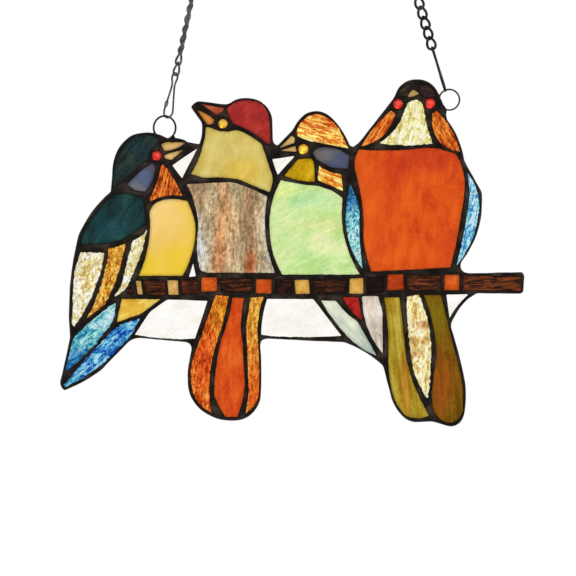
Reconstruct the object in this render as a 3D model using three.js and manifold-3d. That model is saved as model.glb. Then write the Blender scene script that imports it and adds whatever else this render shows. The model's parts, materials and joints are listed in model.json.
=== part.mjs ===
// Stained glass panel: four birds on a branch, hung by two chains.
// Millimetres. X to the right, Z up, the front faces -Y and the glass lies about Y = 0.
// The origin is the hanging point, midway between the tops of the two end rings.
import * as THREE from 'three';
import Module from 'manifold-3d';
import { mergeVertices } from 'three/addons/utils/BufferGeometryUtils.js';

const wasm = await Module();
wasm.setup();

// Driving dimensions
const PANEL_WIDTH = 330;        // over the solder at both ends
const GLASS_THICKNESS = 3;
const SOLDER_THICKNESS = 4.8;   // over the beads on both faces
const GLASS_HIDDEN = 0.8;       // how far each pane runs in under the solder
const FIT_GAP = 0.3;            // between a pane and the solder round it
const CHORD_ERROR = 0.7;        // of the facets on a curved edge
const RING_WIRE = 1.2;          // wire diameter of the soldered rings
const HOOK_WIRE = 1.1;
const CHAIN_WIRE = 1.4;
const LINK_LENGTH = 10.4;
const LINK_WIDTH = 6.9;
const LINK_TWIST = Math.PI / 2; // of each link over its length
const LINK_SLACK = 1.1;         // between the lowest link and the head of the hook
const END_RING_WIRE = 1.6;
const END_RING_DIAMETER = 14;
const END_RING_SLACK = 0.39;    // between the last link's head and the end ring

// The cartoon is the drawing that the panes are cut to: x to the right, y down.
const CARTOON_WIDTH = 463;      // the panel's width on the cartoon
const CARTOON_ORIGIN = [303.4, -27];
const SCALE = PANEL_WIDTH / CARTOON_WIDTH;

// An outline lists its corners as [x, y, bow]. The bow is how far the edge to the next
// corner swells out of the piece at its middle, and it is below zero where it is hollow.
const OUTER_EDGE = [
  [199.6, 144.2], [167.4, 138, 4.2], [131.8, 135.6, 3.8], [113.5, 164.3], [111.2, 191.8, 3.3],
  [79, 235.5, 1], [70.4, 286.6], [69.2, 318], [70.8, 337.6, 0.5], [61.7, 377.7, 2.2],
  [65, 390.2, 1.7], [103, 368.8], [126.7, 344, -1.7], [140.8, 338, 0.9], [184.2, 342, -2.3],
  [192.3, 348.4, 1.1], [188, 380, 3.9], [202, 410, 4.5], [241, 419.6, 4.1], [261, 398.4, 1],
  [260.5, 344.7, -1.5], [266.3, 338.4], [311.2, 340.8, -0.8], [343.8, 341.8, -2.3], [383.2, 365.5],
  [390, 392, 2.3], [403.5, 416.8, 1.7], [418.8, 421.6], [432.2, 421, 0.7], [449.4, 426.4, 3.5],
  [464.2, 414, 1], [465.4, 383.3, 1], [451.2, 327.8, -1], [454, 318.5, -2.7], [477, 293.2],
  [520.8, 293.7], [523.4, 291.6], [524.4, 275.3], [521.8, 272], [468.8, 273, -3.8],
  [461, 262.2, 2.5], [479.8, 223.5, 1.3], [481.6, 191.8, 0.4], [464, 160.2, 3.1], [447, 120, 1.2],
  [439, 95, 4.9], [416, 79.4, 3], [397, 90.5], [393.6, 98.6], [358.8, 143.2],
  [353.5, 147], [349.9, 145.5, 2.4], [328.5, 115, 3.2], [305.5, 113.8, 1], [293.3, 129.4, 0.5],
  [278, 145.3, -1.5], [273, 139], [272.6, 118.3, 3.3], [256.5, 99.6, 2], [233.6, 100.7, -1.4],
  [223, 104.2, 0.5], [203, 101.5, 2.4], [191.3, 107.6, -0.5], [202.2, 123, -1.3],
];

const COLOURS = {
  teal: '#1f4a4c', slate: '#6f7396', rust: '#c46a24', cream: '#ebe1b9', amber: '#d69a3c',
  sky: '#4f9fc0', blue: '#2f78c4', yellow: '#eec848', gold: '#e2b44c', khaki: '#d8c46a',
  crimson: '#a82a28', bark: '#8d7562', orange: '#e0621f', mustard: '#c99d1c', ivory: '#efe3b0',
  mint: '#c6ecac', pearl: '#d3d9cb', olive: '#9a7420', umber: '#3c1c14', clear: '#f4f2ec',
};

// Panes that are plates of their own, by bird and place
const PANES = {
  teal_head: ['teal', [[114, 188.5, 5.8], [129.5, 139.5, 4.6], [158.5, 138.6], [158.5, 142, -1.6],
    [148, 159.5, 0.4]]],
  teal_cheek: ['slate', [[152.5, 163], [156, 166.5, 2.4], [145.6, 191.8, 2.2], [127.8, 184.4, 1.2]]],
  teal_throat: ['rust', [[164, 164, 1.2], [183, 196, -2.8], [150.8, 201.6], [150.2, 198.7, -1.2],
    [161.7, 165.4]]],
  teal_back: ['teal', [[115.5, 194, 1.4], [143.5, 197.2], [146, 224.6, 0.7], [126.2, 238, 2.6],
    [81.5, 244], [82.5, 236, 3.2]]],
  teal_breast: ['yellow', [[150.2, 211.4, 2.6], [164, 200, 1.4], [187.5, 201, 1.5],
    [196, 228.6, 3.2], [183, 275.6], [139.2, 275.6, -2.9], [150.6, 224]]],
  teal_wing_outer: ['cream', [[81.2, 251.8], [104.6, 252.8, 1.1], [98.8, 279, 2.2],
    [75, 326.7], [72.7, 325.2], [73.6, 292, 2]]],
  teal_wing_middle: ['amber', [[108.8, 249], [125.9, 243.8, 2.8], [105.4, 304.6],
    [87, 318.2, -4]]],
  teal_wing_inner: ['cream', [[147.2, 230, 2.6], [127.4, 287, 1.2], [115, 296.4],
    [122, 284, 0.5], [133, 240.4, -1.2]]],
  teal_tail_upper: ['sky', [[116, 302.4, 2], [110.8, 325, 2.6], [67, 370.6], [65.8, 368.6],
    [74, 337.6, 1.4]]],
  teal_tail_lower: ['blue', [[139.8, 318.6, 1.8], [123.4, 344, 4], [65.5, 386.8], [64.2, 384],
    [110.4, 332.2, 1.7], [131.4, 321]]],
  teal_belly: ['gold', [[122.4, 298.8], [161, 299.2, 3.8], [117.4, 322]]],

  redcap_crown: ['crimson', [[227, 109, 3.1], [249, 100.7, 4.4], [268.8, 114.5, 1], [270.3, 144],
    [267.2, 143.6, -2.2], [234.3, 124.4, 1]]],
  redcap_neck: ['khaki', [[206, 127.5], [210.6, 127.5, -2.9], [236.6, 129.8, 1.4],
    [262, 144.3, 0.6], [273, 176.5, 1], [270, 192.2, -0.7], [238.2, 179.2, -1], [203.7, 178],
    [191.5, 174.2, -1.8], [205.6, 136]]],
  redcap_breast: ['bark', [[187, 184.2], [231.4, 182, 1.3], [267.5, 196.5, -5.5],
    [275.3, 272.8], [207.4, 272.6], [200.7, 270.3, 2.3], [198.7, 228, -2.8]]],
  redcap_tail_left: ['rust', [[216, 294.8], [229.6, 295.6, 0.6], [222.5, 326.2, -5.9],
    [211.8, 412.6, 3.2], [193, 391, 1.5], [192, 363.2, 0.5]]],
  redcap_tail_middle: ['orange', [[232.8, 297.6], [244.3, 298, -2.2], [243, 344.7],
    [245.2, 381.7, 1.2], [238.2, 416.4], [226, 416.4, 1], [214.7, 394.7, 1.7],
    [221.8, 339.2, -1.3]]],
  redcap_tail_right: ['gold', [[250.7, 297.6], [264.2, 296.6, -2.1], [258, 335.5, 1],
    [259, 395.6, 2.1], [246, 413.4, -0.6], [249, 391], [246.6, 326.2, 0.5]]],

  green_crown: ['orange', [[296.3, 132.5, 4.2], [316.2, 114, 4.2], [341.5, 133.3],
    [348.8, 148.6, -0.8], [308.6, 141], [298.6, 137]]],
  green_cheek: ['slate', [[313.2, 152.4, 2], [325.4, 147.4, 2.2], [350.3, 156.2],
    [348, 169.2, 0.8], [331.5, 167.7], [316.2, 159.3]]],
  green_chin: ['mustard', [[298, 159.3], [308.6, 158.5, 1], [314.3, 162.3], [315, 181.5, 2.2],
    [284.8, 175.4]]],
  green_nape: ['orange', [[319.3, 165.4, -1.8], [341.5, 174.2], [343.4, 191.4, -0.7],
    [317.8, 180.3]]],
  green_breast: ['mint', [[281.5, 180, -1], [316.7, 185.8, 1.6], [342.8, 197.8, -6.9],
    [360, 274.5], [282.5, 274.5, 3.3], [270, 227.6, 3.6]]],
  green_tail_left: ['pearl', [[321, 300.2], [336, 300.6, -1.5], [358, 321.7, 0.7],
    [376.6, 355.4, 1.4], [351.5, 340, 1.6]]],
  green_tail_middle: ['crimson', [[342.3, 296.8], [358.6, 297.3], [362.4, 320.7, 1.7]]],
  green_tail_right: ['pearl', [[362.4, 296.3], [378.2, 296], [382.5, 312], [383, 353.7, 5.5]]],

  orange_crown_left: ['umber', [[397.8, 96, 3.4], [412, 83.8], [407, 96.2], [399.8, 97]]],
  orange_crown_right: ['umber', [[418.7, 90], [420.3, 85], [425.3, 84.6, 2.3], [436, 96.2, 1],
    [422, 96.2]]],
  orange_cheek_left: ['rust', [[391, 110.6], [395.4, 113.8, 7.3], [361, 146.8, 2.1]]],
  orange_throat: ['ivory', [[417.2, 99.5, 1.7], [424, 108.4, -1.7], [433.3, 143.7, 1.9],
    [379.3, 143.4, -1.4], [399.8, 122.7, 0.6], [407, 104.8, 1.5]]],
  orange_cheek_right: ['rust', [[436.5, 110.6, 3.3], [460, 151.7, 2.2], [438.2, 140.5, 1],
    [432, 123.6], [432, 113.8]]],
  orange_breast: ['orange', [[359.2, 149.5, -1.8], [424.8, 148, 1.7], [456, 154.4, 3],
    [464.5, 190.8, 1.5], [450.2, 267.3], [371.6, 271.4, 1.3], [363.5, 236.7, -2.9],
    [355.3, 170.4, 2.2]]],
  orange_wing_left: ['sky', [[350.6, 184.7, 1.4], [360, 214, -1.6], [363.2, 269.6, 4],
    [345.9, 221.4, 1.6]]],
  orange_wing_right: ['sky', [[467, 172, 3.4], [479.2, 207, 5.3], [456, 266.3, -1.6],
    [469.8, 192]]],
  orange_tail_left: ['mustard', [[384.3, 297.2], [399.7, 297.2, -0.8], [406.4, 358.4, -2.7],
    [429.4, 415, 3], [405, 415, 1.4], [392.4, 393, 1.3], [388.6, 347, -1]]],
  orange_tail_middle: ['ivory', [[406.8, 296.7], [418.8, 294.3, 1.5], [430.3, 333.6, 1.7],
    [428, 397.2], [426, 397.2, 2.2], [411, 356.5, 1]]],
  orange_tail_right: ['olive', [[423.6, 294.8], [440.8, 294.8, -0.9], [460, 371, 1.3],
    [463, 404.4, 4.8], [449.4, 423, 3.4], [432.7, 406.6], [431.7, 394.8], [436, 356.5, -3.3]]],

  branch_1: ['umber', [[127.4, 293.8], [132.2, 286], [133.8, 294.4]]],
  branch_2: ['umber', [[144.3, 280.4], [165.5, 280.4], [166.3, 294.7], [145.8, 294.5]]],
  branch_3: ['umber', [[181.5, 280.5], [198.6, 280.3], [198.6, 293.5], [182.3, 294.5]]],
  branch_4: ['umber', [[221, 278.2], [252.8, 279], [252.3, 292], [221.5, 291.5]]],
  branch_5: ['umber', [[275.8, 279.6], [291.5, 279.8], [292.5, 293.8], [275.3, 293.6]]],
  branch_6: ['umber', [[312.5, 280.3], [346, 279.3], [345.3, 293.6], [313.8, 293.9]]],
  branch_7: ['umber', [[366.8, 277.8], [384.2, 275.8], [383.6, 291.6], [367.2, 293.4]]],
  branch_8: ['umber', [[407.2, 275.6], [440.7, 275.6], [440.7, 290.4], [408, 290.6]]],
  branch_9: ['umber', [[463.2, 275.6], [520.8, 276.3], [521.3, 290.8], [463.2, 290]]],

  clear_beak_gap: ['clear', [[197.8, 148.4], [182.5, 178.5], [172.6, 165.4]]],
  clear_neck_gap: ['clear', [[272.6, 159.3], [294.8, 156.2], [278, 175]]],
  clear_left: ['clear', [[168, 299.4], [208, 300.7, 0.6], [195.4, 338.4, 1.6], [135.4, 334.4],
    [150.6, 311.4]]],
  clear_middle: ['clear', [[267.6, 298.9], [313.4, 298.9, -0.8], [341.6, 335.6, 1.6],
    [261.6, 334.6, 1.6]]],
  clear_right: ['clear', [[446.3, 294.4], [468.2, 294.2, -1.1], [449.6, 317.6]]],
};

// Small panes that are one with the solder round them
const TILES = {
  teal_beak_upper: [[161.7, 144.5], [167.4, 142], [186.4, 142.2, 2.2], [164.6, 151]],
  teal_beak_lower: [[164.6, 156.3], [167.4, 154], [184.6, 149.6], [172, 160], [165.7, 158.5]],
  redcap_beak_upper: [[201.4, 104], [224.4, 108.4], [223, 111.8], [217, 115]],
  redcap_beak_lower: [[197.2, 110, 1], [214.8, 119.8], [213.3, 124], [208, 125.2]],
  green_beak_upper: [[280, 148, 0.8], [291.7, 136], [295.2, 138], [294.5, 143.2]],
  green_beak_lower: [[281, 150.7], [295.6, 146], [297, 152]],
  orange_beak: [[414, 90], [419.5, 93.7, 1], [408, 97, 1.2]],
  clear_breast_gap: [[193.5, 263.4], [196.3, 276], [189.5, 276.8]],
  foot_1: [[136.3, 280.7], [141.5, 281], [143.3, 294.3], [138.2, 294.2]],
  foot_2: [[167.9, 280.2], [178.3, 280.3], [179, 294.8], [169.2, 294.4]],
  foot_3: [[201.7, 277.2], [217.2, 277.2], [217.6, 290.8], [201.7, 291.8]],
  foot_4: [[256.5, 279], [272, 279.2], [271.3, 293.5], [256, 293.2]],
  foot_5: [[295, 280], [308.9, 279.8], [310.1, 293.8], [296, 293.9]],
  foot_6: [[350, 278.6], [363.2, 277.8], [363.6, 293.6], [349.3, 293.5]],
  foot_7: [[387.7, 274.4], [403.3, 273.9], [404.2, 289.4], [387, 290.4]],
  foot_8: [[444.3, 274.8], [459.2, 274.8], [459.2, 290], [444.3, 290]],
};

// Round glass eyes: centre and radius on the cartoon
const EYES = {
  teal_eye: [157.3, 155.8, 4.9],
  redcap_eye: [223.4, 123.9, 4.6],
  green_eye: [303.6, 149.3, 5],
  orange_eye_left: [398.2, 104.1, 4.9],
  orange_eye_right: [430.2, 103.5, 5.1],
};
const EYE_SIDES = 8;

// Hangers: where each ring, hook and chain stands on the cartoon
const HANGERS = {
  left: { ring: [165.1, 126.7], ringRadius: 11.1, hookFoot: [167.9, 118.8], hookHead: [175.5, 73.6],
    hookTurn: -0.7, chainEnd: [191.1, 0], chainTurn: Math.PI / 2, links: 8 },
  right: { ring: [449.4, 99.9], ringRadius: 10.1, hookFoot: [446, 93.3], hookHead: [432, 47.6],
    hookTurn: 1.4, chainEnd: [418.1, 0], chainTurn: 0, links: 6 },
};
// Half the hook's width, from its foot to its head, as parts of its length
const HOOK_PROFILE = [[0, 0], [0.03, 2.6], [0.14, 3.2], [0.42, 1.9], [0.72, 0.75], [0.84, 1.4],
  [0.95, 2.1], [1, 0]];
const WIRE_SIDES = 5;
const LINK_SIDES = 4;
const LINK_STEPS = 8;
const LINK_PRESS = 0.1;         // of each link into the next, where the chain is one piece
const RING_STEPS = 16;
const HOOK_STEPS = 22;

const toPanel = ([x, y]) => new THREE.Vector2(
  (x - CARTOON_ORIGIN[0]) * SCALE, (CARTOON_ORIGIN[1] - y) * SCALE);

// The points of an arc from a to b, without b; side is +1 where the piece lies on the left
function arcPoints(a, b, bow, side) {
  const chord = b.clone().sub(a);
  const steps = Math.max(1, Math.ceil(Math.sqrt(Math.abs(bow) / CHORD_ERROR)));
  const outward = new THREE.Vector2(chord.y, -chord.x).normalize().multiplyScalar(side);
  const points = [];
  for (let i = 0; i < steps; i += 1) {
    const t = i / steps;
    points.push(a.clone().addScaledVector(chord, t).addScaledVector(outward, 4 * t * (1 - t) * bow));
  }
  return points;
}

// A closed outline in millimetres, always anticlockwise
function outlinePoints(corners) {
  const places = corners.map(toPanel);
  const side = Math.sign(THREE.ShapeUtils.area(places));
  const points = corners.flatMap((corner, i) => arcPoints(
    places[i], places[(i + 1) % places.length], (corner[2] ?? 0) * SCALE, side));
  return side > 0 ? points : points.reverse();
}

function circlePoints([x, y, radius]) {
  const centre = toPanel([x, y]);
  return Array.from({ length: EYE_SIDES }, (_, i) => {
    const angle = (2 * Math.PI * (i + 0.5)) / EYE_SIDES;
    const reach = radius * SCALE;
    return new THREE.Vector2(centre.x + reach * Math.cos(angle), centre.y + reach * Math.sin(angle));
  });
}

// An anticlockwise outline moved outwards. A corner that would reach out further than
// MITRE times the distance is cut off, CUT_SHARE of the distance past its old point.
const MITRE = 1.8;
const CUT_SHARE = 0.6;
function grow(points, distance) {
  const count = points.length;
  return points.flatMap((point, i) => {
    const before = point.clone().sub(points[(i + count - 1) % count]).normalize();
    const after = points[(i + 1) % count].clone().sub(point).normalize();
    const normals = [before, after].map((d) => new THREE.Vector2(d.y, -d.x));
    const bisector = normals[0].clone().add(normals[1]).normalize();
    const reach = 1 / bisector.dot(normals[0]);
    if (before.cross(after) < 0 || reach < MITRE) {
      return [point.clone().addScaledVector(bisector, distance * reach)];
    }
    const past = CUT_SHARE * distance;
    return [
      point.clone().addScaledVector(normals[0], distance).addScaledVector(before, past),
      point.clone().addScaledVector(normals[1], distance).addScaledVector(after, -past),
    ];
  });
}

// A plate of the given outline, its front face towards -Y
function plate(points, thickness, middle = 0) {
  const geometry = new THREE.ExtrudeGeometry(new THREE.Shape(points),
    { depth: thickness, bevelEnabled: false });
  return geometry.translate(0, 0, -thickness / 2).rotateX(Math.PI / 2).translate(0, middle, 0);
}

// A closed loop of wire through the places that pointAt gives for 0 to 1
function wireLoop(pointAt, steps, diameter, sides) {
  const centres = Array.from({ length: steps }, (_, i) => pointAt(i / steps));
  const middle = centres.reduce((sum, p) => sum.add(p), new THREE.Vector3()).divideScalar(steps);
  const positions = [];
  const indices = [];
  centres.forEach((centre, i) => {
    const along = centres[(i + 1) % steps].clone().sub(centres[(i + steps - 1) % steps]).normalize();
    const out = centre.clone().sub(middle);
    out.addScaledVector(along, -out.dot(along)).normalize();
    const across = along.clone().cross(out);
    for (let k = 0; k < sides; k += 1) {
      const angle = (2 * Math.PI * (k + 0.5)) / sides;
      const place = centre.clone().addScaledVector(out, (diameter / 2) * Math.cos(angle))
        .addScaledVector(across, (diameter / 2) * Math.sin(angle));
      positions.push(...place.toArray());
      const next = ((i + 1) % steps) * sides;
      const other = (k + 1) % sides;
      indices.push(i * sides + k, next + other, next + k);
      indices.push(i * sides + k, i * sides + other, next + other);
    }
  });
  const geometry = new THREE.BufferGeometry();
  geometry.setAttribute('position', new THREE.Float32BufferAttribute(positions, 3));
  geometry.setIndex(indices);
  return geometry;
}

function ringGeometry(radius, wire) {
  const pointAt = (t) => new THREE.Vector3(
    radius * Math.cos(2 * Math.PI * t), 0, radius * Math.sin(2 * Math.PI * t));
  return wireLoop(pointAt, RING_STEPS, wire, WIRE_SIDES);
}

// One curb link along Z, its foot at the origin, twisted about its length
function linkGeometry() {
  const radius = (LINK_WIDTH - CHAIN_WIRE) / 2;
  const straight = LINK_LENGTH - LINK_WIDTH;
  const pointAt = (t) => {
    const angle = 2 * Math.PI * (t + 0.5 / LINK_STEPS);
    const height = radius * Math.sin(angle) + (Math.sign(Math.sin(angle)) * straight) / 2;
    const turn = (LINK_TWIST * height) / (LINK_LENGTH - CHAIN_WIRE);
    const reach = radius * Math.cos(angle);
    return new THREE.Vector3(reach * Math.cos(turn), reach * Math.sin(turn), height);
  };
  return wireLoop(pointAt, LINK_STEPS, CHAIN_WIRE, LINK_SIDES)
    .translate(0, 0, (LINK_LENGTH - CHAIN_WIRE) / 2);
}

// The long wire hook along Z, its foot at the origin
function hookGeometry(length) {
  const side = HOOK_PROFILE.slice(1, -1);
  const loop = [...HOOK_PROFILE, ...side.map(([t, half]) => [t, -half]).reverse()];
  const curve = new THREE.CatmullRomCurve3(
    loop.map(([t, half]) => new THREE.Vector3(half, 0, t * length)), true, 'centripetal');
  const places = curve.getSpacedPoints(HOOK_STEPS);
  return wireLoop((t) => places[Math.round(t * HOOK_STEPS)], HOOK_STEPS, HOOK_WIRE, WIRE_SIDES);
}

const toSpace = (place) => {
  const flat = toPanel(place);
  return new THREE.Vector3(flat.x, 0, flat.y);
};

// Turns a piece about Z, then stands it on the line from one place to another
function stand(geometry, from, to, turn) {
  const up = new THREE.Vector3(0, 0, 1);
  const lean = new THREE.Quaternion().setFromUnitVectors(up, to.clone().sub(from).normalize());
  return geometry.rotateZ(turn).applyQuaternion(lean).translate(from.x, from.y, from.z);
}

const WELD_DISTANCE = 1e-4;

function toSolid(geometry) {
  const bare = geometry.clone();
  bare.deleteAttribute('normal');
  bare.deleteAttribute('uv');
  const merged = mergeVertices(bare, WELD_DISTANCE);
  return new wasm.Manifold(new wasm.Mesh({
    numProp: 3,
    vertProperties: new Float32Array(merged.attributes.position.array),
    triVerts: new Uint32Array(merged.index.array),
  }));
}

function fromSolid(solid) {
  const { vertProperties, triVerts } = solid.getMesh();
  const geometry = new THREE.BufferGeometry();
  geometry.setAttribute('position', new THREE.BufferAttribute(vertProperties, 3));
  geometry.setIndex(new THREE.BufferAttribute(triVerts, 1));
  return geometry;
}

const GLASS_FINISH = { roughness: 0.2, metalness: 0 };
const SOLDER_FINISH = { color: '#2b2a29', roughness: 0.45, metalness: 0.9 };
const WIRE_FINISH = { color: '#3a322d', roughness: 0.5, metalness: 0.8 };

const panel = new THREE.Group();

function addPiece(name, geometry, finish) {
  const mesh = new THREE.Mesh(geometry, new THREE.MeshStandardMaterial(finish));
  mesh.name = name;
  panel.add(mesh);
}

const addGlass = (name, points, color) => addPiece(
  name, plate(grow(points, GLASS_HIDDEN), GLASS_THICKNESS), { color, ...GLASS_FINISH });
const addWire = (name, geometry) => addPiece(name, geometry, WIRE_FINISH);

const paneOutlines = Object.entries(PANES).map(([name, [colour, corners]]) => (
  { name, colour: COLOURS[colour], points: outlinePoints(corners) }));
const tileOutlines = [
  ...Object.values(TILES).map(outlinePoints), ...Object.values(EYES).map(circlePoints)];

// The solder: the whole outline, less the windows, the grooves for the panes, the sunk faces
// of the small tiles, and the seats of the two rings
function solderSolid(ringSeats) {
  const windows = paneOutlines.map(({ points }) => plate(points, 2 * SOLDER_THICKNESS));
  const grooves = paneOutlines.map(({ points }) => (
    plate(grow(points, GLASS_HIDDEN + FIT_GAP), GLASS_THICKNESS + 2 * FIT_GAP)));
  const sunk = SOLDER_THICKNESS - GLASS_THICKNESS;
  const faces = [-1, 1].flatMap((way) => tileOutlines.map((points) => (
    plate(points, sunk, (way * SOLDER_THICKNESS) / 2))));
  const cuts = [...windows, ...grooves, ...faces, ...ringSeats].map(toSolid);
  const body = toSolid(plate(outlinePoints(OUTER_EDGE), SOLDER_THICKNESS));
  return body.subtract(wasm.Manifold.union(cuts));
}

const linkPitch = LINK_LENGTH - 2 * CHAIN_WIRE + LINK_PRESS;

function chainSolid(links, standOnLine) {
  const solids = Array.from({ length: links }, (_, i) => (
    toSolid(standOnLine(linkGeometry().translate(0, 0, i * linkPitch)))));
  return wasm.Manifold.union(solids);
}

// The ring at the chain's end, its foot through the head of the last link
function endRingGeometry(links) {
  const lastHead = (links - 1) * linkPitch + LINK_LENGTH - CHAIN_WIRE;
  const radius = (END_RING_DIAMETER - END_RING_WIRE) / 2;
  const foot = lastHead - (CHAIN_WIRE + END_RING_WIRE) / 2 - END_RING_SLACK;
  return ringGeometry(radius, END_RING_WIRE).rotateZ(-LINK_TWIST / 2).translate(0, 0, foot + radius);
}

// Adds one ring, hook, chain and end ring, and gives back the ring's seat in the solder
function addHanger(side) {
  const plan = HANGERS[side];
  const [ringCentre, hookFoot, hookHead, chainEnd] = [
    plan.ring, plan.hookFoot, plan.hookHead, plan.chainEnd].map(toSpace);
  const ringOf = (wire) => ringGeometry(plan.ringRadius * SCALE, wire)
    .translate(ringCentre.x, 0, ringCentre.z);
  const hook = hookGeometry(hookHead.distanceTo(hookFoot));
  const drop = (HOOK_WIRE + CHAIN_WIRE) / 2 + LINK_SLACK;
  const chainFoot = hookHead.clone().lerp(chainEnd, -drop / hookHead.distanceTo(chainEnd));
  const standOnLine = (geometry) => stand(geometry, chainFoot, chainEnd, plan.chainTurn);
  addWire(`ring_${side}`, ringOf(RING_WIRE));
  addWire(`hook_${side}`, stand(hook, hookFoot, hookHead, plan.hookTurn));
  addWire(`chain_${side}`, fromSolid(chainSolid(plan.links, standOnLine)));
  addWire(`end_ring_${side}`, standOnLine(endRingGeometry(plan.links)));
  return ringOf(RING_WIRE + 2 * FIT_GAP);
}

const ringSeats = Object.keys(HANGERS).map(addHanger);
addPiece('solder', fromSolid(solderSolid(ringSeats)), SOLDER_FINISH);
paneOutlines.forEach(({ name, points, colour }) => addGlass(name, points, colour));

export default panel;
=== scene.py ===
import json
from math import acos, ceil, copysign, cos, floor, hypot, pi, radians, sin, sqrt

import bpy
import numpy as np
from mathutils import Matrix, Vector, kdtree, noise
from mathutils.geometry import delaunay_2d_cdt


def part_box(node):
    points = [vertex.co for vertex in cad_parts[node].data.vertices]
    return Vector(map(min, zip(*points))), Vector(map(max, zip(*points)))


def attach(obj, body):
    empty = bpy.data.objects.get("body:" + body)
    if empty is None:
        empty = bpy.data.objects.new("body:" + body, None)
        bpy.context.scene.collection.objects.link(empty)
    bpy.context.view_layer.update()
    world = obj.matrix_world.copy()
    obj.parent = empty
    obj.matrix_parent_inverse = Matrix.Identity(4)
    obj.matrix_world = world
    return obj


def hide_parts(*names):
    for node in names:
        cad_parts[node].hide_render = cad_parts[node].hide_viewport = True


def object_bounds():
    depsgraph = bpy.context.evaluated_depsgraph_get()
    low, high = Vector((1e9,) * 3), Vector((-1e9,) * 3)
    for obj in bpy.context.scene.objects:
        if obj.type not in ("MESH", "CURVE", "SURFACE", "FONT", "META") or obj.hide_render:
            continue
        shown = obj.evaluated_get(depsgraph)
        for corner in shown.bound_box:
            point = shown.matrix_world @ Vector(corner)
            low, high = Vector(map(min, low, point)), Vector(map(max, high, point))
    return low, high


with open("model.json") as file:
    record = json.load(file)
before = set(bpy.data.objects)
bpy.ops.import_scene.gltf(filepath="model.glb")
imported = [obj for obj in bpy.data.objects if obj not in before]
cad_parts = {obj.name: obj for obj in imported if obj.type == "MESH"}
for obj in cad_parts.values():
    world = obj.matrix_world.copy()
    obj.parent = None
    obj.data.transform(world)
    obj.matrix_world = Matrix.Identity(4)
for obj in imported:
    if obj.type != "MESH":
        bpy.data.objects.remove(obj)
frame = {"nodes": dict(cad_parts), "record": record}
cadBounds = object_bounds()

# Stained glass panel. Metres, X to the right, Z up, the front faces -Y.
# Every outline comes from the frame: the edges of the solder's front face and of its windows.
mm = 0.001  # a millimetre


# Helpers for objects and shaders

noiseSet = {
    "seedStep": (0.037, 0.011, 0.023),  # how far a seed moves a noise
    "middle": (0.3, 0.7),  # most of a noise lies in here
    "wide": (0.2, 0.8),
}


def addObject(name, data):
    thing = bpy.data.objects.new(name, data)
    bpy.context.scene.collection.objects.link(thing)
    return thing


def newMaterial(name):
    material = bpy.data.materials.new(name)
    material.use_nodes = True
    tree = material.node_tree
    return material, tree, tree.nodes["Principled BSDF"]


# Gives a shader node's inputs another node's output or a plain value
def feed(tree, node, inputs):
    for label, value in inputs.items():
        if isinstance(value, bpy.types.NodeSocket):
            tree.links.new(value, node.inputs[label])
        else:
            node.inputs[label].default_value = value


def addNode(tree, kind, output, inputs, **settings):
    node = tree.nodes.new(f"ShaderNode{kind}")
    for setting, value in settings.items():
        setattr(node, setting, value)
    feed(tree, node, inputs)
    return node.outputs[output]


# A colour for a shader, from red, green and blue up to 255
def linear(colour):
    shares = [c / 255 for c in colour]
    return (*[c / 12.92 if c < 0.04045 else ((c + 0.055) / 1.055) ** 2.4 for c in shares], 1)


def sumNode(tree, operation, first, second):
    return addNode(tree, "Math", 0, {0: first, 1: second}, operation=operation)


# Noise in the object's own space, drawn out along an angle from X towards Z
def placedNoise(tree, size, stretch=1, angle=0, detail=4, distortion=0, seed=0, roughness=0.5):
    turned = addNode(tree, "Mapping", "Vector", {
        "Vector": addNode(tree, "TexCoord", "Object", {}),
        "Location": [step * seed for step in noiseSet["seedStep"]],
        "Rotation": (0, -radians(angle), 0),
        "Scale": (size * stretch, size, size)}, vector_type="TEXTURE")
    return addNode(tree, "TexNoise", "Fac", {
        "Vector": turned, "Scale": 1, "Detail": detail, "Roughness": roughness, "Distortion": distortion})


def rampNode(tree, factor, colours, span):
    ramp = addNode(tree, "ValToRGB", "Color", {"Fac": factor})
    steps = ramp.node.color_ramp.elements
    while len(steps) < len(colours):
        steps.new(0.5)
    for i, colour in enumerate(colours):
        steps[i].position = span[0] + (span[1] - span[0]) * i / (len(colours) - 1)
        steps[i].color = linear(colour)
    return ramp


def readValue(tree, label):
    return addNode(tree, "Attribute", "Fac", {}, attribute_name=label)


def bumpNode(tree, height, strength, distance):
    return addNode(tree, "Bump", "Normal", {"Height": height, "Strength": strength, "Distance": distance})


# From one value to another, as the factor passes through a span
def rangeNode(tree, factor, span, low, high, way="LINEAR"):
    return addNode(tree, "MapRange", "Result", {
        "Value": factor, "From Min": span[0], "From Max": span[1], "To Min": low, "To Max": high},
        interpolation_type=way)


# Laid over a colour: another colour where the mask is 1
def overlay(tree, base, colour, mask, blend="MIX"):
    over = colour if isinstance(colour, bpy.types.NodeSocket) else linear(colour)
    return addNode(tree, "Mix", "Result", {"Factor": mask, "A": base, "B": over},
                   data_type="RGBA", blend_type=blend)


# Camera and room, set first

cameraSet = {
    "across": 0.4099,  # the picture's width at the panel
    "aim": (-0.01078, 0, -0.22443),  # the picture's middle, on the panel
    "distance": 4.0,
    "sensor": 36.0,
    "clipEnd": 50,
}
roomSet = {
    "floorBelow": 0.35,  # under the panel's lowest point
    "floorSide": 8.0,
    "floorColour": (0.86, 0.86, 0.85, 1),
    "floorRoughness": 0.9,
    "skyStrength": 1.0,
}
lampSet = {  # place, side of the square, watts
    "key_left": ((-0.75, -1.3, 0.35), 0.35, 5.0),
    "key_right": ((0.8, -1.2, 0.1), 0.25, 3.0),
    "rim_back": ((0.3, 1.4, 0.5), 0.6, 5.0),
}


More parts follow.
